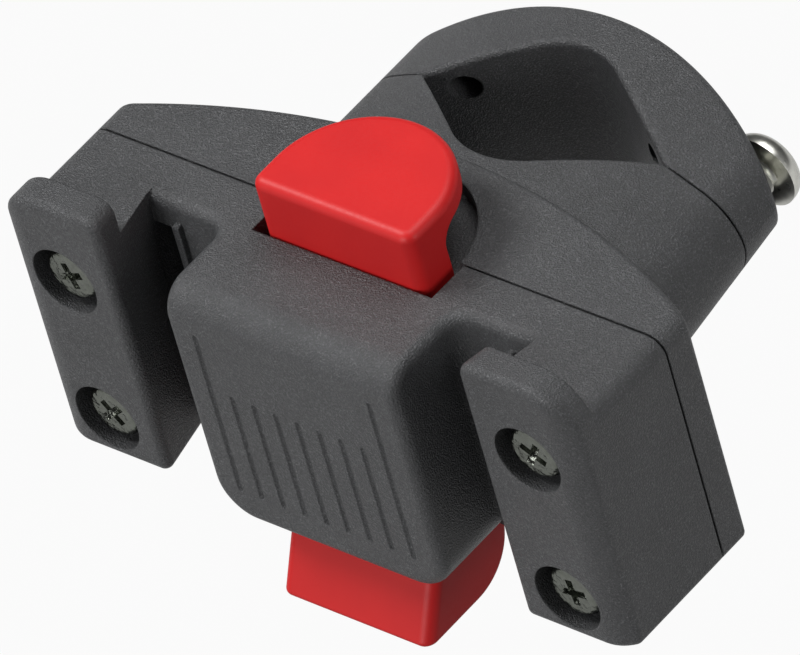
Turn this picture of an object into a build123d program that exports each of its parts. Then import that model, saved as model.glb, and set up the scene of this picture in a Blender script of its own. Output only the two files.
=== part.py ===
from build123d import *
import os
from math import acos, atan2, cos, hypot, radians, sin, sqrt, tan

# Quick-release bag receiver that clamps on one upright tube.
# It is drawn with Y = 0 on the parting plane of the two housing halves and Z = 0 on their flat top,
# front towards -Y, and at the end moved so that the tube's axis at the clamp's mid height is the origin.

# Housing halves
body_width = 83.8
body_height = 34.0
body_top_radius = 2.4
body_bottom_radius = 1.1
rear_reach = 14.5
rear_arc_radius = 92.0
rear_edge_radius = 0.8
shadow_gap = 0.3
shadow_depth = 0.5

# Guide arms, whose inner faces lean over the hook channels
channel_back = 6.3
channel_depth = 6.5
arm_thickness = 13.5
arm_lean = 2.2
flange_thickness = 4.1
flange_rise = 4.7
flange_outer_radius = 6.3
flange_inner_radius = 1.8
flange_edge_radius = 1.1
flange_sweep_radius = 5.0
flange_sweep_angle = 50.0

# Core windows in the channel's back wall, each with a guide rib on its inner edge
window_width = 3.4
window_top = 4.2
window_sill = 4.0
rib_top = 3.0
rib_width = 1.0
rib_height = 0.8

# Centre block between the channels
block_width = 34.0
block_front = 18.7
block_top_radius = 4.0
block_corner_radius = 5.3
block_edge_radius = 1.4
block_root_radius = 2.6
groove_count = 9
groove_pitch = 3.2
groove_radius = 0.45
groove_depth = 0.25
groove_foot = 5.0
long_groove_top = 5.6
short_groove_top = 13.8

# Housing screws, driven from the front through the arms
screw_inset = 7.9
screw_top = 6.9
screw_foot = 5.8
screw_shank = 4.0
screw_length = 18.0
screw_head = 7.2
screw_head_height = 2.6
screw_head_edge = 0.8
screw_recess = 1.0
screw_cross_width = 1.1
screw_cross_span = 4.2
screw_cross_depth = 1.7
screw_clearance = 0.15
head_clearance = 1.0
blind_end = 1.0

# Clamp on the upright tube
clamp_bore = 19.8
clamp_axis = 28.4
split_offset = 0.4
split_gap = 0.25
clamp_width = 54.6
opening_half = 17.8
crown_drop = 3.7
crown_radius = 50.0
crown_corner = 8.0
clamp_lift = 5.8
clamp_bottom_slope = 10.0
cap_reach = 15.7
cap_arc_radius = 46.0
cap_edge_radius = 1.2
cap_rim_radius = 0.8
core_hole = 3.5
core_hole_half = 14.0
core_hole_drop = 9.6
core_hole_depth = 8.0

# Clamp bolts with domed socket heads, and their captive nuts
bolt_half_spacing = 21.3
bolt_shank = 5.0
bolt_length = 35.0
bolt_head = 9.5
bolt_head_height = 2.75
bolt_socket = 3.0
bolt_socket_depth = 1.6
bolt_clearance = 0.3
bolt_seat = 9.4
bolt_slack = 1.8
spotface_clearance = 0.5
nut_across_flats = 8.0
nut_height = 4.0
nut_seat = 13.0
nut_clearance = 0.1
thread_clearance = 0.3

# Release slider: thumb pad, stem, spring window and wedge foot
slider_travel = 4.0
pad_radius = 11.8
pad_centre = 0.8
pad_front = 5.5
pad_top = 8.0
pad_thickness = 3.0
pad_corner = 1.6
pad_edge_radius = 1.2
neck_radius = 2.6
stem_back = 0.4
stem_bottom = 12.0
plate_width = 19.9
plate_back = 2.6
spring_window_width = 6.4
spring_window_bottom = 27.0
foot_width = 22.0
foot_height = 10.2
foot_reach = 19.2
foot_lean = 27.6
foot_heel_radius = 7.0
foot_corner = 1.5
foot_edge = 0.5
stop_gap = 0.3
slider_clearance = 0.3
slot_side_gap = 1.4
pad_gap = 0.7
thumb_recess_depth = 2.3

# Return spring, from the stem's underside down to a finger of the front half
spring_outer = 5.0
spring_wire = 0.8
spring_turns = 5
spring_end_gap = 0.1
finger_top = 23.0
finger_height = 3.0
finger_width = 4.8

half = body_width / 2
arm_inner_half = half - arm_thickness
flange_back = channel_back + channel_depth
flange_front = flange_back + flange_thickness
lip_half = arm_inner_half - arm_lean
split = clamp_axis + split_offset
clamp_half = clamp_width / 2
clamp_bottom = body_height - clamp_lift
clamp_middle = (crown_drop + clamp_bottom) / 2
pad_half = pad_radius
slot_half = pad_half + slot_side_gap
screw_half_spacing = half - screw_inset
screw_drops = [screw_top, body_height - screw_foot]
window_bottom = body_height - window_sill
groove_bottom = body_height - groove_foot
foot_top = body_height + stop_gap
foot_bottom = foot_top + foot_height
overlap = 1.0


def outline(points, radii):
    """Closed face through the points, each corner with its own radius."""
    return make_face(FilletPolyline(*points, radius=radii, close=True))


def along_x(face, start, end):
    """Prism of a face drawn in (Y, Z) from X = start to X = end."""
    sketch = Plane(origin=(start, 0, 0), x_dir=(0, 1, 0), z_dir=(1, 0, 0))
    return extrude(sketch * face, amount=end - start)


def along_y(face, start, end):
    """Prism of a face drawn in (X, Z) from Y = start to Y = end."""
    sketch = Plane(origin=(0, end, 0), x_dir=(1, 0, 0), z_dir=(0, -1, 0))
    return extrude(sketch * face, amount=end - start)


def along_z(face, start, end):
    """Prism of a face drawn in (X, Y) from Z = start to Z = end."""
    return extrude(Plane.XY.offset(start) * face, amount=end - start)


def block_between(x0, x1, y0, y1, z0, z1):
    """Box given by its limits."""
    return Pos((x0 + x1) / 2, (y0 + y1) / 2, (z0 + z1) / 2) * Box(x1 - x0, y1 - y0, z1 - z0)


def rod_y(x, z, diameter, start, end):
    """Round bar along Y."""
    return along_y(Pos(x, z) * Circle(diameter / 2), start, end)


def both_sides(solid):
    """A right-hand feature together with its mirror image."""
    return solid + mirror(solid, about=Plane.YZ)


def body_profile(inset=0.0):
    """Front outline of the housing in (X, Z)."""
    edge = half - inset
    low = -body_height + inset
    corners = [(-edge, -inset), (edge, -inset), (edge, low), (-edge, low)]
    top = body_top_radius - inset
    bottom = body_bottom_radius - inset
    return outline(corners, [top, top, bottom, bottom])


def arm_plan():
    """Plan of the right guide arm: inner face leaning over the channel, outer front edge swept back."""
    root = -channel_back + overlap
    root_half = arm_inner_half + arm_lean * overlap / (flange_front - channel_back)
    sweep = radians(flange_sweep_angle)
    middle = (half - flange_sweep_radius * sin(sweep), flange_sweep_radius - flange_front)
    sweep_end = (half, middle[1] - flange_sweep_radius * cos(sweep))
    bulge = (middle[0] + flange_sweep_radius * sin(sweep / 2), middle[1] - flange_sweep_radius * cos(sweep / 2))
    sweep_start = (middle[0], -flange_front)
    straight = Polyline(sweep_end, (half, root), (root_half, root), (lip_half, -flange_front), sweep_start)
    return make_face([straight, ThreePointArc(sweep_start, bulge, sweep_end)])


def side_wall():
    """Upper half of the channel's right side wall, square to its back wall."""
    root = -channel_back + overlap
    wall = along_y(body_profile(), -flange_back, root)
    return wall & block_between(arm_inner_half, half, -flange_back, root, -body_height / 2, 0)


def guide_arm():
    """Right guide arm: the wedge that leans over the channel and the flange that rises above it."""
    root = -channel_back + overlap
    wall = along_z(arm_plan(), -body_height, 0) & along_y(body_profile(), -flange_back, root)
    inner_sole = [edge for edge in wall.edges()
                  if edge.center().Z < 0.01 - body_height and edge.center().X < arm_inner_half]
    wall = fillet(inner_sole, body_bottom_radius)
    front = outline(
        [(lip_half, flange_rise), (half, flange_rise), (half, -body_height), (lip_half, -body_height)],
        [0, flange_outer_radius, 0, 0])
    flange = along_y(front, -flange_front, -flange_back) & along_z(arm_plan(), -body_height, flange_rise)
    inner_top = [edge for edge in flange.edges()
                 if edge.center().X < arm_inner_half and edge.center().Z > flange_rise - 0.01
                 and abs(edge.tangent_at(0.5).Y) > 0.9]
    flange = fillet(inner_top, flange_inner_radius)
    face = flange.faces().filter_by(Plane.XZ).sort_by(Axis.Y)[0]
    swept = [each for each in flange.faces()
             if each.geom_type == GeomType.CYLINDER and abs(each.center().Z + body_height / 2) < flange_rise]
    loops = face.edges() + swept[0].edges()
    shared = [edge for edge in face.edges() if edge in swept[0].edges()]
    rim = [edge for edge in loops if edge not in shared and edge.center().Z > 0.01 - body_height]
    flange = fillet(rim, flange_edge_radius)
    sole = [edge for edge in flange.edges()
            if edge.center().Z < 0.01 - body_height and edge.center().Y < -0.01 - flange_back]
    flange = fillet(sole, body_bottom_radius)
    return wall + flange


def centre_block():
    """Ribbed block between the channels, with a rounded brow and rounded lower corners."""
    side_half = block_width / 2
    root = -channel_back + overlap
    front = outline(
        [(-side_half, 0), (side_half, 0), (side_half, -body_height), (-side_half, -body_height)],
        [0, 0, block_corner_radius, block_corner_radius])
    side = outline(
        [(root, 0), (-block_front, 0), (-block_front, -body_height), (root, -body_height)],
        [0, block_top_radius, 0, 0])
    block = along_y(front, -block_front, root) & along_x(side, -side_half, side_half)
    corner = Pos(side_half, -channel_back - block_root_radius) * Rectangle(
        block_root_radius, block_root_radius + overlap, align=(Align.MIN, Align.MIN))
    scoop_centre = Pos(side_half + block_root_radius, -channel_back - block_root_radius)
    scoop = scoop_centre * Circle(block_root_radius)
    root_fillet = along_z(corner - scoop, block_corner_radius - body_height, 0)
    return block + both_sides(root_fillet)


def block_rim(shell):
    """Edges round the block's face and brow, on through its roots and along the top of the channel wall."""
    side_half = block_width / 2
    corner_top = block_corner_radius - body_height
    rim = []
    for edge in shell.edges():
        spot = edge.center()
        across = abs(spot.X)
        ahead = spot.Y < 0.01 - channel_back
        on_top = abs(spot.Z) < 0.01 and side_half - 0.01 < across < lip_half and ahead
        on_side = abs(across - side_half) < 0.01 and spot.Y < -channel_back - block_root_radius
        on_face = spot.Y < 0.01 - block_front and spot.Z < corner_top
        if on_top or on_face or (on_side and spot.Z > corner_top + 0.01):
            rim.append(edge)
    return rim


def block_grooves():
    """Upright grooves in the block's face, round in section; the two outer ones are longer."""
    first = -(groove_count - 1) / 2 * groove_pitch
    axis = groove_depth - groove_radius - block_front
    cuts = []
    for index in range(groove_count):
        outer = index in (0, groove_count - 1)
        top = long_groove_top if outer else short_groove_top
        place = Pos(first + index * groove_pitch, axis)
        groove = along_z(place * Circle(groove_radius), -groove_bottom, -top)
        for drop in (top, groove_bottom):
            groove = groove + place * Pos(0, 0, -drop) * Sphere(groove_radius)
        cuts.append(groove)
    return cuts


def slider_cavity():
    """Room for the slider in the front half: the wide slot for the stem and the narrow run of the plate."""
    stem_low = -stem_bottom - slider_travel - slider_clearance
    front = -pad_front - slider_clearance
    wide = block_between(-slot_half, slot_half, front, overlap, stem_low, overlap)
    plate_half = plate_width / 2 + slider_clearance
    narrow = block_between(-plate_half, plate_half, front, overlap, -body_height - overlap, stem_low)
    return wide + narrow


def spring_finger():
    """Rib that crosses the slider's window and carries the spring."""
    front = -pad_front - slider_clearance - overlap
    width = finger_width / 2
    return block_between(-width, width, front, -slider_clearance, -finger_top - finger_height, -finger_top)


def front_housing():
    """Front half: back wall of the channels, guide arms, centre block and slider slot."""
    shell = along_y(body_profile(), -channel_back, 0)
    shell = shell + both_sides(side_wall()) + centre_block()
    shell = fillet(block_rim(shell), block_edge_radius)
    shell = shell + both_sides(guide_arm())
    rib_outer = arm_inner_half - window_width
    window = block_between(
        rib_outer, arm_inner_half, -channel_back - overlap, overlap, -window_bottom, -window_top)
    rib = outline(
        [(rib_outer - rib_width, -rib_top), (rib_outer, -rib_top),
         (rib_outer, -body_height), (rib_outer - rib_width, -body_height)],
        [rib_width / 3, rib_width / 3, 0, 0])
    shell = shell + both_sides(along_y(rib, -channel_back - rib_height, -channel_back + overlap))
    shell = shell - both_sides(window)
    shell = shell - block_grooves()
    shell = shell - slider_cavity()
    shell = shell + spring_finger()
    seat = -flange_front + screw_recess + screw_head_height
    for drop in screw_drops:
        bore = screw_head + 2 * head_clearance
        counterbore = rod_y(screw_half_spacing, -drop, bore, -flange_front - overlap, seat)
        bore = screw_shank + 2 * screw_clearance
        hole = rod_y(screw_half_spacing, -drop, bore, seat - overlap, overlap)
        shell = shell - both_sides(counterbore) - both_sides(hole)
    return shell


def clamp_prism(start, end):
    """Barrel-shaped clamp section from Y = start to Y = end, its underside rising to the rear."""
    shoulder = -crown_drop - crown_radius + sqrt(crown_radius ** 2 - clamp_half ** 2)
    far = -clamp_middle - body_height
    crown = ThreePointArc((-clamp_half, shoulder), (0, -crown_drop), (clamp_half, shoulder))
    sides = Polyline((clamp_half, shoulder), (clamp_half, far), (-clamp_half, far), (-clamp_half, shoulder))
    section = make_face([crown, sides])
    section = fillet(section.vertices().sort_by(Axis.Y)[-2:], crown_corner)
    slope = radians(clamp_bottom_slope)
    belly = Pos(0, -2 * clamp_middle) * mirror(section, about=Plane.XZ)
    station = Plane(origin=(0, start, (start - split) * tan(slope)), x_dir=(1, 0, 0), z_dir=(0, -1, 0))
    lower = extrude(station * belly, amount=(end - start) / cos(slope), dir=(0, cos(slope), sin(slope)))
    return along_y(section, start, end) & lower


def tube_opening():
    """Room for the tube: a round bore with flanks that run out to the split plane."""
    radius = clamp_bore / 2
    reach = hypot(opening_half, split_offset)
    tilt = atan2(split_offset, opening_half)
    turn = acos(radius / reach)
    rear = (radius * cos(tilt + turn), clamp_axis + radius * sin(tilt + turn))
    front = (radius * cos(tilt - turn), clamp_axis + radius * sin(tilt - turn))
    corners = [(opening_half, split), rear, (-rear[0], rear[1]),
               (-opening_half, split), (-front[0], front[1]), front]
    plan = make_face(Polyline(*corners, close=True)) + Pos(0, clamp_axis) * Circle(radius)
    return along_z(plan, -body_height, overlap)


def bolt_holes(start, end):
    """Clearance holes for the two clamp bolts."""
    bore = bolt_shank + 2 * bolt_clearance
    return both_sides(rod_y(bolt_half_spacing, -clamp_middle, bore, start, end))


def thumb_recess():
    """Flat-floored hollow behind the thumb pad."""
    plan = Pos(0, -pad_centre) * Circle(pad_radius + pad_gap)
    behind = Pos(0, -overlap) * Rectangle(body_width, body_width, align=(Align.CENTER, Align.MIN))
    return along_z(plan & behind, -thumb_recess_depth, overlap)


def back_housing():
    """Rear half: curved back, front saddle of the clamp, nut pockets and screw pilots."""
    shell = along_y(body_profile(), 0, rear_reach + overlap)
    back = Pos(0, rear_reach - rear_arc_radius) * Circle(rear_arc_radius)
    shell = shell & along_z(back, -body_height, 0)
    rear_edges = shell.edges().filter_by(lambda edge: edge.center().Y > shadow_gap + overlap)
    rear_loop = [edge for edge in rear_edges
                 if edge.geom_type != GeomType.LINE or abs(edge.tangent_at(0.5).Z) > 0.9]
    shell = fillet(rear_loop, rear_edge_radius)
    rim = along_y(body_profile(), -overlap, shadow_gap)
    rim = rim - along_y(body_profile(shadow_depth), -overlap, shadow_gap)
    shell = shell - rim
    shell = shell + clamp_prism(channel_back, split - split_gap / 2)
    shell = shell - tube_opening() - thumb_recess()
    shell = shell - bolt_holes(-overlap, split + overlap)
    pocket = RegularPolygon(nut_across_flats / 2 + nut_clearance, 6, major_radius=False)
    pocket = along_y(Pos(bolt_half_spacing, -clamp_middle) * pocket, -overlap, nut_seat)
    shell = shell - both_sides(pocket)
    tip = -flange_front + screw_recess + screw_head_height + screw_length
    for drop in screw_drops:
        bore = screw_shank + 2 * screw_clearance
        pilot = rod_y(screw_half_spacing, -drop, bore, -overlap, tip + blind_end)
        shell = shell - both_sides(pilot)
    return shell


def clamp_cap():
    """Rear clamp jaw: a barrel-shaped bow with a spotface for each bolt head."""
    outer = clamp_axis + cap_reach
    bow = clamp_prism(split + split_gap / 2, outer + overlap)
    arc_centre = outer - cap_arc_radius
    bow = bow & along_z(Pos(0, arc_centre) * Circle(cap_arc_radius), -body_height, 0)
    outer_edges = [edge for edge in bow.edges()
                   if all(abs(hypot(spot.X, spot.Y - arc_centre) - cap_arc_radius) < 0.001
                          for spot in (edge @ 0, edge @ 0.5, edge @ 1))]
    bow = fillet(outer_edges, cap_edge_radius)
    bow = bow - tube_opening()
    rim = [edge for edge in bow.edges()
           if split + split_gap < edge.center().Y < clamp_axis + clamp_bore * 0.55
           and edge.center().Z > -clamp_middle / 2 and abs(edge.center().X) < opening_half]
    bow = fillet(rim, cap_rim_radius)
    seat = clamp_axis + bolt_seat
    bow = bow - bolt_holes(split - overlap, outer)
    spotface = bolt_head + 2 * spotface_clearance
    bow = bow - both_sides(rod_y(bolt_half_spacing, -clamp_middle, spotface, seat, outer + overlap))
    core = rod_y(core_hole_half, -core_hole_drop, core_hole, split - overlap, split + core_hole_depth)
    return bow - both_sides(core)


def clamp_bolt(side):
    """Domed socket-head bolt along Y, its head a little off the cap."""
    seat = clamp_axis + bolt_seat + bolt_slack
    head_radius = bolt_head / 2
    crown = head_radius * 0.45
    head = make_face([
        Polyline((0, bolt_head_height), (0, 0), (head_radius, 0)),
        Spline((head_radius, 0), (crown, bolt_head_height), tangents=[(0, 1), (-1, 0)]),
        Line((crown, bolt_head_height), (0, bolt_head_height)),
    ])
    radius = bolt_shank / 2
    point = bolt_shank / 10
    shank = outline(
        [(0, 0), (radius, 0), (radius, point - bolt_length), (radius - point, -bolt_length),
         (0, -bolt_length)],
        [0, 0, 0, 0, 0])
    bolt = revolve(head + shank, Axis.Y)
    socket = RegularPolygon(bolt_socket / 2, 6, major_radius=False)
    bolt = bolt - along_y(socket, bolt_head_height - bolt_socket_depth, bolt_head_height + overlap)
    return Pos(side * bolt_half_spacing, seat, -clamp_middle) * bolt


def clamp_nut(side):
    """Hexagon nut held in the rear half's pocket, with its corners turned off."""
    hexagon = RegularPolygon(nut_across_flats / 2, 6, major_radius=False)
    nut = along_y(hexagon, nut_seat - nut_height, nut_seat)
    corner = nut_across_flats / 2 * 1.08
    turned = rod_y(0, 0, 2 * corner, nut_seat - nut_height, nut_seat)
    turned = chamfer(turned.edges().filter_by(GeomType.CIRCLE), corner - nut_across_flats / 2 * 0.96)
    nut = nut & turned
    nut = nut - rod_y(0, 0, bolt_shank + 2 * thread_clearance, 0, nut_seat + overlap)
    return Pos(side * bolt_half_spacing, 0, -clamp_middle) * nut


def housing_screw(side, drop):
    """Cross-recessed pan-head screw along Y, its tip in the rear half."""
    face = -flange_front + screw_recess
    seat = face + screw_head_height
    head = rod_y(0, 0, screw_head, face, seat)
    head = fillet(head.edges().filter_by(GeomType.CIRCLE).sort_by(Axis.Y)[:1], screw_head_edge)
    shank = rod_y(0, 0, screw_shank, seat, seat + screw_length)
    shank = chamfer(shank.edges().filter_by(GeomType.CIRCLE).sort_by(Axis.Y)[-1:], screw_shank / 4)
    arm = block_between(
        -screw_cross_span / 2, screw_cross_span / 2, face - overlap, face + screw_cross_depth,
        -screw_cross_width / 2, screw_cross_width / 2)
    screw = head + shank - arm - arm.rotate(Axis.Y, 90)
    return Pos(side * screw_half_spacing, 0, -drop) * screw


def release_slider():
    """One moulding: thumb pad, stem, plate with the spring window, and wedge foot."""
    disc = Pos(0, -pad_centre) * Circle(pad_radius)
    front_edge = Pos(0, -pad_front)
    rear_part = front_edge * Rectangle(2 * pad_half, 2 * pad_radius, align=(Align.CENTER, Align.MIN))
    straight = pad_front - pad_centre
    front_bar = front_edge * Rectangle(2 * pad_half, straight, align=(Align.CENTER, Align.MIN))
    plan = (disc & rear_part) + front_bar
    under = pad_top - pad_thickness
    side = outline(
        [(-pad_front, pad_top), (-pad_front, -stem_bottom), (-stem_back, -stem_bottom),
         (-stem_back, under), (pad_radius, under), (pad_radius, pad_top)],
        [0, 0, 0, neck_radius, 0, 0])
    button = along_x(side, -pad_half, pad_half) & along_z(plan, -stem_bottom, pad_top)
    corners = [edge for edge in button.edges().filter_by(Axis.Z)
               if abs(edge.center().Y + pad_front) < 0.01]
    button = fillet(corners, pad_corner)
    rim = [edge for edge in button.edges() if abs(edge.center().Z - pad_top) < 0.01]
    button = fillet(rim, pad_edge_radius)
    plate_half = plate_width / 2
    plate = block_between(
        -plate_half, plate_half, -pad_front, -plate_back, -foot_top - overlap, -stem_bottom)
    toe = -foot_reach + (foot_bottom - foot_top) * tan(radians(foot_lean))
    foot_side = outline(
        [(-plate_back, -foot_top), (-plate_back, -foot_bottom),
         (-foot_reach, -foot_bottom), (toe, -foot_top)],
        [0, foot_heel_radius, 0, 0])
    foot = along_x(foot_side, -foot_width / 2, foot_width / 2)
    front_edges = [edge for edge in foot.edges()
                   if edge.center().Y < -pad_front - overlap and 0.3 < abs(edge.tangent_at(0.5).Y) < 0.7]
    foot = fillet(front_edges, foot_corner)
    sole = [edge for edge in foot.edges()
            if abs(edge.center().Z + foot_bottom) < 0.01 and edge.center().Y < -foot_reach + 2 * foot_corner]
    foot = fillet(sole, foot_edge)
    window_half = spring_window_width / 2
    window = block_between(
        -window_half, window_half, -pad_front - overlap, overlap, -spring_window_bottom, -stem_bottom)
    return button + plate + foot - window


def return_spring():
    """Compression spring between the stem and the finger."""
    low = -finger_top + spring_end_gap + spring_wire / 2
    high = -stem_bottom - spring_end_gap - spring_wire / 2
    middle = -(pad_front + slider_clearance) / 2
    rise = high - low
    path = Helix(pitch=rise / spring_turns, height=rise, radius=(spring_outer - spring_wire) / 2)
    wire = Plane(origin=path @ 0, z_dir=path % 0) * Circle(spring_wire / 2)
    return Pos(0, middle, low) * sweep(wire, path=path, is_frenet=True)


pieces = {
    "front_housing": front_housing(),
    "back_housing": back_housing(),
    "clamp_cap": clamp_cap(),
    "release_slider": release_slider(),
    "return_spring": return_spring(),
}
for side, name in ((-1, "left"), (1, "right")):
    pieces[f"clamp_bolt_{name}"] = clamp_bolt(side)
    pieces[f"clamp_nut_{name}"] = clamp_nut(side)
    pieces[f"upper_screw_{name}"] = housing_screw(side, screw_drops[0])
    pieces[f"lower_screw_{name}"] = housing_screw(side, screw_drops[1])

# The tube's axis at the clamp's mid height becomes the origin
os.makedirs("parts", exist_ok=True)
for name, solid in pieces.items():
    export_step(Pos(0, -clamp_axis, clamp_middle) * solid, f"parts/{name}.step")
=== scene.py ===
from math import pi, radians

import bmesh
import bpy
from mathutils import Matrix, Vector


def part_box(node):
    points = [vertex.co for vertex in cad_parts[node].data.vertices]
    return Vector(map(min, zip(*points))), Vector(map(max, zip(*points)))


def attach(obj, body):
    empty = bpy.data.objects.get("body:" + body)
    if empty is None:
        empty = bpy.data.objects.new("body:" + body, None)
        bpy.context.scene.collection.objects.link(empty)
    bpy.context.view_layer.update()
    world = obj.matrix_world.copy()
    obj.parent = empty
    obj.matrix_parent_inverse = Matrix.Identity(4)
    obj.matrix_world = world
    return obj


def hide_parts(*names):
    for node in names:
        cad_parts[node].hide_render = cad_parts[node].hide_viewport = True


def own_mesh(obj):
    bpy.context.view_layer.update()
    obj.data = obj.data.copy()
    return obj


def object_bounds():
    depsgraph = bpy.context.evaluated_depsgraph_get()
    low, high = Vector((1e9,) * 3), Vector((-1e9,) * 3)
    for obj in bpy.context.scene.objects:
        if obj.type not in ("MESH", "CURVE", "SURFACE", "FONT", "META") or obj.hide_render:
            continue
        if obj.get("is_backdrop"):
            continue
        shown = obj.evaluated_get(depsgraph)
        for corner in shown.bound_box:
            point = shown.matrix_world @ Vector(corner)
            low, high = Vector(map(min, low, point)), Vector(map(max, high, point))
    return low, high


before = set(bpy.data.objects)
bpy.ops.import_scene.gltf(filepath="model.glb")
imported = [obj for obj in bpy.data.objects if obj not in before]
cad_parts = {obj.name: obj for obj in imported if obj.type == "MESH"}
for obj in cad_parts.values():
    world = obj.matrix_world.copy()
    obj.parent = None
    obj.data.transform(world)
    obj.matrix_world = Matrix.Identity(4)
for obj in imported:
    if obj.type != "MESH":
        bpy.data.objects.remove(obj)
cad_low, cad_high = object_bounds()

# Back half of the housing: a hollow moulding in dark grey glass-filled nylon. Its mould was spark-eroded,
# so every face carries a fine matt grain. It holds the front saddle of the clamp and the captive nuts,
# and four screws hold it to the front half.
nylon_shade = (0.050, 0.051, 0.0535)
nylon_pit_tone = 0.70
nylon_fleck_tone = 2.3
nylon_drift_tones = (0.90, 1.08)
nylon_grain_scale = 4600.0
nylon_cloud_scale = 160.0
nylon_pit_roughness = 0.46
nylon_fleck_roughness = 0.32
nylon_grain_strength = 1.0
nylon_grain_height = 0.00022
nylon_edge_radius = 0.00035
nylon_shine = 0.50
noise_low, noise_high = 0.3, 0.7
edge_samples = 6


def new_finish(name):
    """A new material, with its node tree and its surface shader."""
    material = bpy.data.materials.new(name)
    material.use_nodes = True
    return material, material.node_tree, material.node_tree.nodes["Principled BSDF"]


def speckle(tree, scale, detail, harshness=0.5):
    """Noise on the piece's own coordinates, its scale per metre."""
    place = tree.nodes.new("ShaderNodeTexCoord")
    noise = tree.nodes.new("ShaderNodeTexNoise")
    noise.inputs["Scale"].default_value = scale
    noise.inputs["Detail"].default_value = detail
    noise.inputs["Roughness"].default_value = harshness
    tree.links.new(place.outputs["Object"], noise.inputs["Vector"])
    return noise.outputs["Fac"]


def toned(colour, share):
    """A lighter or darker tone of a colour."""
    return tuple(part * share for part in colour)


def tinted(tree, pattern, first, last, *between):
    """Colours a pattern by stops, each a level of the pattern and the colour there."""
    ramp = tree.nodes.new("ShaderNodeValToRGB")
    stops = ramp.color_ramp.elements
    for index, (level, colour) in enumerate((first, last)):
        stops[index].position = level
        stops[index].color = (*colour, 1)
    for level, colour in between:
        stops.new(level).color = (*colour, 1)
    tree.links.new(pattern, ramp.inputs["Fac"])
    return ramp.outputs["Color"]


def spread(tree, pattern, low_value, high_value, low_level=0.0, high_level=1.0):
    """Turns the levels of a pattern into values between two ends."""
    span = tree.nodes.new("ShaderNodeMapRange")
    span.inputs["From Min"].default_value = low_level
    span.inputs["From Max"].default_value = high_level
    span.inputs["To Min"].default_value = low_value
    span.inputs["To Max"].default_value = high_value
    tree.links.new(pattern, span.inputs["Value"])
    return span.outputs["Result"]


def relief(tree, pattern, strength, height, edge_radius=0.0):
    """Raises the surface by a pattern and, where a radius is given, softens sharp edges."""
    bump = tree.nodes.new("ShaderNodeBump")
    bump.inputs["Strength"].default_value = strength
    bump.inputs["Distance"].default_value = height
    tree.links.new(pattern, bump.inputs["Height"])
    if edge_radius:
        edge = tree.nodes.new("ShaderNodeBevel")
        edge.samples = edge_samples
        edge.inputs["Radius"].default_value = edge_radius
        tree.links.new(edge.outputs["Normal"], bump.inputs["Normal"])
    return bump.outputs["Normal"]


def grained_nylon(name):
    """Dark moulded nylon: matt, with a fine eroded grain and pale flecks of filler."""
    material, tree, shader = new_finish(name)
    grain = speckle(tree, nylon_grain_scale, detail=2.0, harshness=0.6)
    cloud = speckle(tree, nylon_cloud_scale, detail=3.0)
    pit = (0.40, toned(nylon_shade, nylon_pit_tone))
    plain = (0.58, nylon_shade)
    fleck = (0.70, toned(nylon_shade, nylon_fleck_tone))
    dark_drift, pale_drift = [(tone, tone, tone) for tone in nylon_drift_tones]
    blend = tree.nodes.new("ShaderNodeMix")
    blend.data_type = "RGBA"
    blend.blend_type = "MULTIPLY"
    blend.inputs["Factor"].default_value = 1.0
    tree.links.new(tinted(tree, grain, pit, fleck, plain), blend.inputs["A"])
    drift = tinted(tree, cloud, (noise_low, dark_drift), (noise_high, pale_drift))
    tree.links.new(drift, blend.inputs["B"])
    tree.links.new(blend.outputs["Result"], shader.inputs["Base Color"])
    roughness = spread(tree, grain, nylon_pit_roughness, nylon_fleck_roughness, noise_low, noise_high)
    tree.links.new(roughness, shader.inputs["Roughness"])
    normal = relief(tree, grain, nylon_grain_strength, nylon_grain_height, nylon_edge_radius)
    tree.links.new(normal, shader.inputs["Normal"])
    shader.inputs["Specular IOR Level"].default_value = nylon_shine
    return material


def dress(node, material):
    """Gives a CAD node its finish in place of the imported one."""
    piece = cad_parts[node]
    piece.data.materials.clear()
    piece.data.materials.append(material)


housing_nylon = grained_nylon("housing_nylon")
dress("back_housing", housing_nylon)

# Captive nuts: cold-formed steel hexagons with a dull zinc plate, one for each clamp bolt.
# They lie in hexagon pockets of the back half, which the front half closes, so they can't turn.
steel_cloud_scale = 900.0
steel_dull_tone = 0.78
steel_roughness_shares = (0.8, 1.3)
steel_dimple_height = 0.0003


def plated_steel(name, colour, roughness, dimple):
    """Plated or polished steel, a little cloudy and, where it was struck or tumbled, dimpled."""
    material, tree, shader = new_finish(name)
    shader.inputs["Metallic"].default_value = 1.0
    cloud = speckle(tree, steel_cloud_scale, detail=4.0)
    tint = tinted(tree, cloud, (noise_low, toned(colour, steel_dull_tone)), (noise_high, colour))
    tree.links.new(tint, shader.inputs["Base Color"])
    smooth, rough = [roughness * share for share in steel_roughness_shares]
    tree.links.new(spread(tree, cloud, smooth, rough), shader.inputs["Roughness"])
    tree.links.new(relief(tree, cloud, dimple, steel_dimple_height), shader.inputs["Normal"])
    return material


zinc = plated_steel("zinc_plate", colour=(0.205, 0.217, 0.19), roughness=0.20, dimple=1.0)
dress("clamp_nut_left", zinc)
dress("clamp_nut_right", zinc)

# Front half of the housing: the same grained nylon, with the two guide arms that lean over the hook channels
# and the ribbed block between them. It is drawn onto the back half by four screws.
dress("front_housing", housing_nylon)

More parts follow.
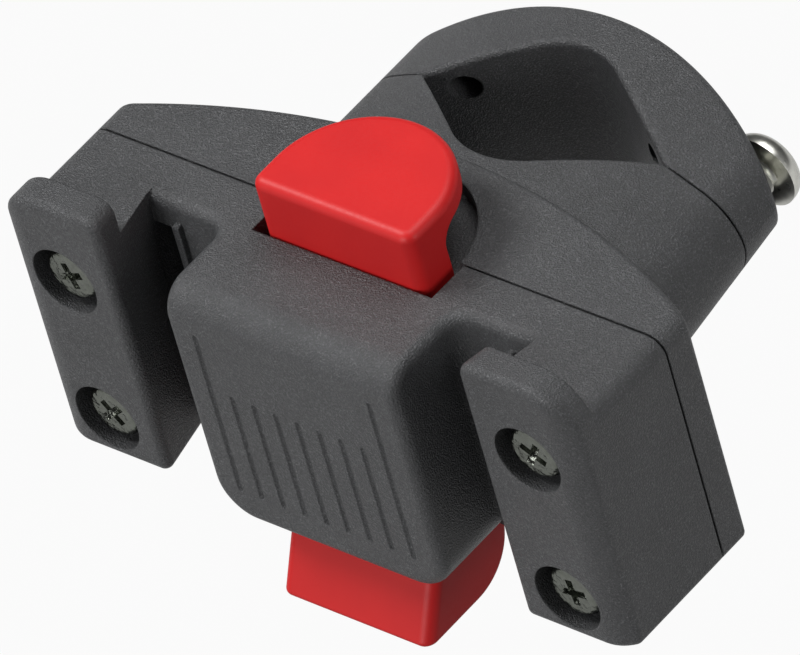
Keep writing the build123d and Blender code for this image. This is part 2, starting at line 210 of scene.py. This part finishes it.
# Housing screws: four zinc-plated pan-head screws with a cross recess, cold-headed from steel wire.
# They sit below the arms' faces in counterbores and draw the front half onto the back half.
# Each stands turned by its own angle, in degrees, as it was left by the driver.
screw_turns = {
    "upper_screw_left": 20,
    "upper_screw_right": 62,
    "lower_screw_left": 41,
    "lower_screw_right": 8,
}
screw_head_radius = 0.0036
screw_head_height = 0.0026
screw_head_segments = 64
screw_crown = 0.0009
screw_crown_segments = 6
screw_shank_radius = 0.002
screw_shank_segments = 32
screw_shank_root = screw_crown / 2
recess_half_width = 0.0005
recess_half_span = 0.00185
recess_depth = 0.0012
recess_taper = 0.45
smooth_angle = radians(32)
height_tolerance = 1e-7
cut_tolerance = 1e-8


def new_piece(name, shape, material, body, node):
    """Turns a finished bmesh into a piece that rides on a body in place of a CAD node."""
    mesh = bpy.data.meshes.new(name)
    shape.to_mesh(mesh)
    shape.free()
    mesh.shade_smooth()
    mesh.set_sharp_from_angle(angle=smooth_angle)
    mesh.materials.append(material)
    piece = bpy.data.objects.new(name, mesh)
    bpy.context.scene.collection.objects.link(piece)
    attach(piece, body)
    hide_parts(node)
    return piece


def level_with(height, item):
    """Whether an edge or a face lies flat at a height."""
    return all(abs(vert.co.z - height) < height_tolerance for vert in item.verts)


def turned_bar(shape, radius, start, end, segments):
    """Closed bar along +Z from start to end; returns its rim edges at the end."""
    made = bmesh.ops.create_cone(
        shape, cap_ends=True, segments=segments, radius1=radius, radius2=radius, depth=end - start,
        matrix=Matrix.Translation((0, 0, (start + end) / 2)))
    edges = {edge for vert in made["verts"] for edge in vert.link_edges}
    return [edge for edge in edges if level_with(end, edge)]


def crown(shape, rim, height, segments):
    """Rounds the rim of a head."""
    bmesh.ops.bevel(
        shape, geom=rim, offset=height, segments=segments, profile=0.5, affect="EDGES", material=-1)


def cut_end(shape, planes):
    """Divides the end face along upright planes, each given by its distance from the axis and its turn."""
    top = max(vert.co.z for vert in shape.verts)
    for distance, turn in planes:
        normal = Matrix.Rotation(turn, 3, "Z") @ Vector((1, 0, 0))
        flat = [face for face in shape.faces if level_with(top, face)]
        around = {item for face in flat for item in (*face.edges, *face.verts)}
        bmesh.ops.bisect_plane(
            shape, geom=[*flat, *around], plane_co=normal * distance, plane_no=normal, dist=cut_tolerance)
    return [face for face in shape.faces if level_with(top, face)]


def sink(shape, faces, depth, taper):
    """Presses faces of the end in by a depth and narrows the floor."""
    region = bmesh.ops.extrude_face_region(shape, geom=faces)
    floor = [item for item in region["geom"] if isinstance(item, bmesh.types.BMVert)]
    bmesh.ops.delete(shape, geom=faces, context="FACES_ONLY")
    bmesh.ops.scale(shape, verts=floor, vec=(taper, taper, 1))
    bmesh.ops.translate(shape, verts=floor, vec=(0, 0, -depth))


recess_cuts = (-recess_half_span, -recess_half_width, recess_half_width, recess_half_span)
for screw, turn in screw_turns.items():
    low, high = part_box(screw)
    shape = bmesh.new()
    tip = screw_head_height - (high[1] - low[1])
    turned_bar(shape, screw_shank_radius, tip, screw_shank_root, screw_shank_segments)
    rim = turned_bar(shape, screw_head_radius, 0.0, screw_head_height, screw_head_segments)
    crown(shape, rim, screw_crown, screw_crown_segments)
    cross = []
    for face in cut_end(shape, [(offset, angle) for angle in (0, pi / 2) for offset in recess_cuts]):
        middle = face.calc_center_median()
        narrow, wide = sorted((abs(middle.x), abs(middle.y)))
        if narrow < recess_half_width and wide < recess_half_span:
            cross.append(face)
    sink(shape, cross, recess_depth, recess_taper)
    bmesh.ops.recalc_face_normals(shape, faces=shape.faces)
    seat = Vector(((low[0] + high[0]) / 2, low[1] + screw_head_height, (low[2] + high[2]) / 2))
    aim = Matrix.Rotation(pi / 2, 4, "X") @ Matrix.Rotation(radians(turn), 4, "Z")
    bmesh.ops.transform(shape, matrix=Matrix.Translation(seat) @ aim, verts=shape.verts)
    new_piece(screw + "_detail", shape, zinc, "housing", screw)

# Release slider: thumb pad, stem, plate and wedge foot in one satin red moulding.
# It runs straight down through the housing under the thumb, and the return spring lifts it again.
red_dark = (0.495, 0.012, 0.013)
red_pale = (0.54, 0.014, 0.014)
red_cloud_scale = 120.0
red_skin_scale = 2600.0
red_skin_strength = 0.12
red_skin_height = 0.00003
red_roughness = (0.38, 0.54)
red_edge_radius = 0.00025
red_shine = 0.28


def satin_red(name):
    """Red moulded plastic with a satin skin and a trace of grain."""
    material, tree, shader = new_finish(name)
    skin = speckle(tree, red_skin_scale, detail=2.0)
    cloud = speckle(tree, red_cloud_scale, detail=2.0)
    tint = tinted(tree, cloud, (noise_low, red_dark), (noise_high, red_pale))
    tree.links.new(tint, shader.inputs["Base Color"])
    tree.links.new(spread(tree, skin, *red_roughness), shader.inputs["Roughness"])
    normal = relief(tree, skin, red_skin_strength, red_skin_height, red_edge_radius)
    tree.links.new(normal, shader.inputs["Normal"])
    shader.inputs["Specular IOR Level"].default_value = red_shine
    return material


dress("release_slider", satin_red("slider_red"))

# Return spring: drawn steel wire, coiled five turns, between the slider's stem and a finger of the front
# half. It stands loose on the finger.
spring_wire_radius = 0.0004
spring_wire_sides = 12
spring_turns = 5
spring_turn_steps = 32
spring_steps = spring_turn_steps * spring_turns
low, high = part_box("return_spring")
spring_height = high[2] - low[2]
coil_radius = (high[0] - low[0]) / 2 - spring_wire_radius
coil_rise = spring_height - 2 * spring_wire_radius
shape = bmesh.new()
bmesh.ops.create_circle(shape, segments=spring_wire_sides, radius=spring_wire_radius)
stand_up = Matrix.Translation((coil_radius, 0, 0)) @ Matrix.Rotation(pi / 2, 4, "X")
bmesh.ops.transform(shape, matrix=stand_up, verts=shape.verts)
bmesh.ops.spin(
    shape, geom=[*shape.verts, *shape.edges], axis=(0, 0, 1), cent=(0, 0, 0), angle=2 * pi * spring_turns,
    steps=spring_steps, dvec=(0, 0, coil_rise / spring_steps))
wire_ends = [edge for edge in shape.edges if edge.is_boundary]
bmesh.ops.holes_fill(shape, edges=wire_ends, sides=spring_wire_sides)
bmesh.ops.recalc_face_normals(shape, faces=shape.faces)
middle = Vector(((low[0] + high[0]) / 2, (low[1] + high[1]) / 2, low[2] + spring_wire_radius))
bmesh.ops.translate(shape, verts=shape.verts, vec=middle)
spring_steel = plated_steel("spring_wire", colour=(0.46, 0.46, 0.45), roughness=0.32, dimple=0.05)
spring = new_piece("return_spring_coil", shape, spring_steel, "housing", "return_spring")
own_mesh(spring)

# Clamp jaw: the loose rear half of the clamp, moulded in the same grained nylon.
# The two clamp bolts draw it towards the saddle, with the upright tube between them.
dress("clamp_cap", housing_nylon)

# Clamp bolts: M5 button heads with a hexagon socket and a rolled thread, in polished stainless steel.
# Each goes through the jaw into a captive nut; here they stand slack, their heads off the jaw.
bolt_head_radius = 0.00475
bolt_head_height = 0.00275
bolt_head_segments = 72
bolt_crown = 0.0024
bolt_crown_segments = 10
socket_sides = 6
socket_half = 0.0015
socket_depth = 0.0016
socket_taper = 0.98
thread_radius = 0.0025
thread_depth = 0.00042
thread_pitch = 0.0008
thread_crest_start = 0.45 * thread_pitch
thread_crest_end = 0.55 * thread_pitch
thread_steps = 24
thread_weld = 1e-6
core_radius = thread_radius - thread_depth
core_root = bolt_head_height / 4
stainless = plated_steel("polished_stainless", colour=(0.84, 0.84, 0.78), roughness=0.28, dimple=0.04)


def thread(shape, end):
    """Right-hand thread round Z from the bolt's end up to its head."""
    turns = round(-end / thread_pitch) - 1
    ridge = [(core_radius, 0.0), (thread_radius, thread_crest_start),
             (thread_radius, thread_crest_end), (core_radius, thread_pitch)]
    verts = [shape.verts.new((radius, 0, end + rise)) for radius, rise in ridge]
    edges = [shape.edges.new(pair) for pair in zip(verts, verts[1:])]
    bmesh.ops.spin(
        shape, geom=[*verts, *edges], axis=(0, 0, 1), cent=(0, 0, 0), angle=2 * pi * turns,
        steps=thread_steps * turns, dvec=(0, 0, thread_pitch / thread_steps))
    bmesh.ops.remove_doubles(shape, verts=shape.verts, dist=thread_weld)


for side in ("left", "right"):
    bolt = "clamp_bolt_" + side
    low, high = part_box(bolt)
    shape = bmesh.new()
    end = bolt_head_height - (high[1] - low[1])
    thread(shape, end)
    turned_bar(shape, core_radius, end, core_root, thread_steps)
    rim = turned_bar(shape, bolt_head_radius, 0.0, bolt_head_height, bolt_head_segments)
    crown(shape, rim, bolt_crown, bolt_crown_segments)
    faces = cut_end(shape, [(socket_half, 2 * pi * index / socket_sides) for index in range(socket_sides)])
    hexagon = min(faces, key=lambda face: face.calc_center_median().xy.length)
    sink(shape, [hexagon], socket_depth, socket_taper)
    bmesh.ops.recalc_face_normals(shape, faces=shape.faces)
    seat = Vector(((low[0] + high[0]) / 2, high[1] - bolt_head_height, (low[2] + high[2]) / 2))
    aim = Matrix.Rotation(-pi / 2, 4, "X")
    bmesh.ops.transform(shape, matrix=Matrix.Translation(seat) @ aim, verts=shape.verts)
    new_piece(bolt + "_detail", shape, stainless, "bolt_" + side, bolt)

# Studio: a plain pale floor a little below the part, soft light from above, the front and both sides,
# and the camera at the photograph's angle. The floor is white to the camera and dimmer in reflections.
floor_size = 6.0
floor_drop = 0.05
floor_tone = 0.12
floor_roughness = 0.9
floor_seen = 0.95
floor_mirrored = 0.5
world_strength = 0.05
camera_place = (1.15652, -1.01854, 1.31293)
camera_turn = (48.0767, 12.3323, 38.5798)
camera_lens = 803.7
camera_sensor = 36.0
camera_reach = 20.0

floor_mesh = bpy.data.meshes.new("floor")
sheet = bmesh.new()
bmesh.ops.create_grid(sheet, x_segments=1, y_segments=1, size=floor_size)
bmesh.ops.translate(sheet, verts=sheet.verts, vec=(0, 0, cad_low[2] - floor_drop))
sheet.to_mesh(floor_mesh)
sheet.free()
floor = bpy.data.objects.new("floor", floor_mesh)
bpy.context.scene.collection.objects.link(floor)


def ray_share(tree, rays, kind, share):
    """A share that counts only for one kind of ray."""
    factor = tree.nodes.new("ShaderNodeMath")
    factor.operation = "MULTIPLY"
    factor.inputs[1].default_value = share
    tree.links.new(rays.outputs[kind], factor.inputs[0])
    return factor.outputs["Value"]


def white_paper(name):
    """Matt paper that glows white to the camera and less so in reflections."""
    material, tree, shader = new_finish(name)
    shader.inputs["Base Color"].default_value = (floor_tone, floor_tone, floor_tone, 1)
    shader.inputs["Roughness"].default_value = floor_roughness
    glow = tree.nodes.new("ShaderNodeEmission")
    rays = tree.nodes.new("ShaderNodeLightPath")
    share = tree.nodes.new("ShaderNodeMath")
    share.operation = "MAXIMUM"
    tree.links.new(ray_share(tree, rays, "Is Camera Ray", floor_seen), share.inputs[0])
    tree.links.new(ray_share(tree, rays, "Is Glossy Ray", floor_mirrored), share.inputs[1])
    blend = tree.nodes.new("ShaderNodeMixShader")
    tree.links.new(share.outputs["Value"], blend.inputs["Fac"])
    tree.links.new(shader.outputs["BSDF"], blend.inputs[1])
    tree.links.new(glow.outputs["Emission"], blend.inputs[2])
    tree.links.new(blend.outputs["Shader"], tree.nodes["Material Output"].inputs["Surface"])
    return material


floor_mesh.materials.append(white_paper("white_paper"))
floor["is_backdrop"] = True

world = bpy.data.worlds.new("studio")
world.use_nodes = True
sky = world.node_tree.nodes["Background"]
sky.inputs["Color"].default_value = (1, 1, 1, 1)
sky.inputs["Strength"].default_value = world_strength
bpy.context.scene.world = world


def softbox(name, place, size, power):
    """Square area lamp that faces the part."""
    lamp = bpy.data.lights.new(name, "AREA")
    lamp.size = size
    lamp.energy = power
    box = bpy.data.objects.new(name, lamp)
    box.location = place
    box.rotation_euler = (-Vector(place)).to_track_quat("-Z", "Y").to_euler()
    bpy.context.scene.collection.objects.link(box)


softbox("top_light", place=(0.05, 0.35, 0.93), size=0.7, power=6.6)
softbox("front_light", place=(-0.10, -1.00, 0.34), size=0.6, power=7.0)
softbox("key_light", place=(-0.62, -0.20, 0.80), size=0.4, power=8.2)
softbox("right_light", place=(1.05, 0.15, 0.35), size=0.6, power=3.8)

lens = bpy.data.cameras.new("camera")
lens.lens = camera_lens
lens.sensor_width = camera_sensor
lens.clip_end = camera_reach
camera = bpy.data.objects.new("camera", lens)
camera.location = camera_place
camera.rotation_euler = [radians(angle) for angle in camera_turn]
bpy.context.scene.collection.objects.link(camera)
bpy.context.scene.camera = camera
bpy.context.scene.view_settings.view_transform = "Standard"

low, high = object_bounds()
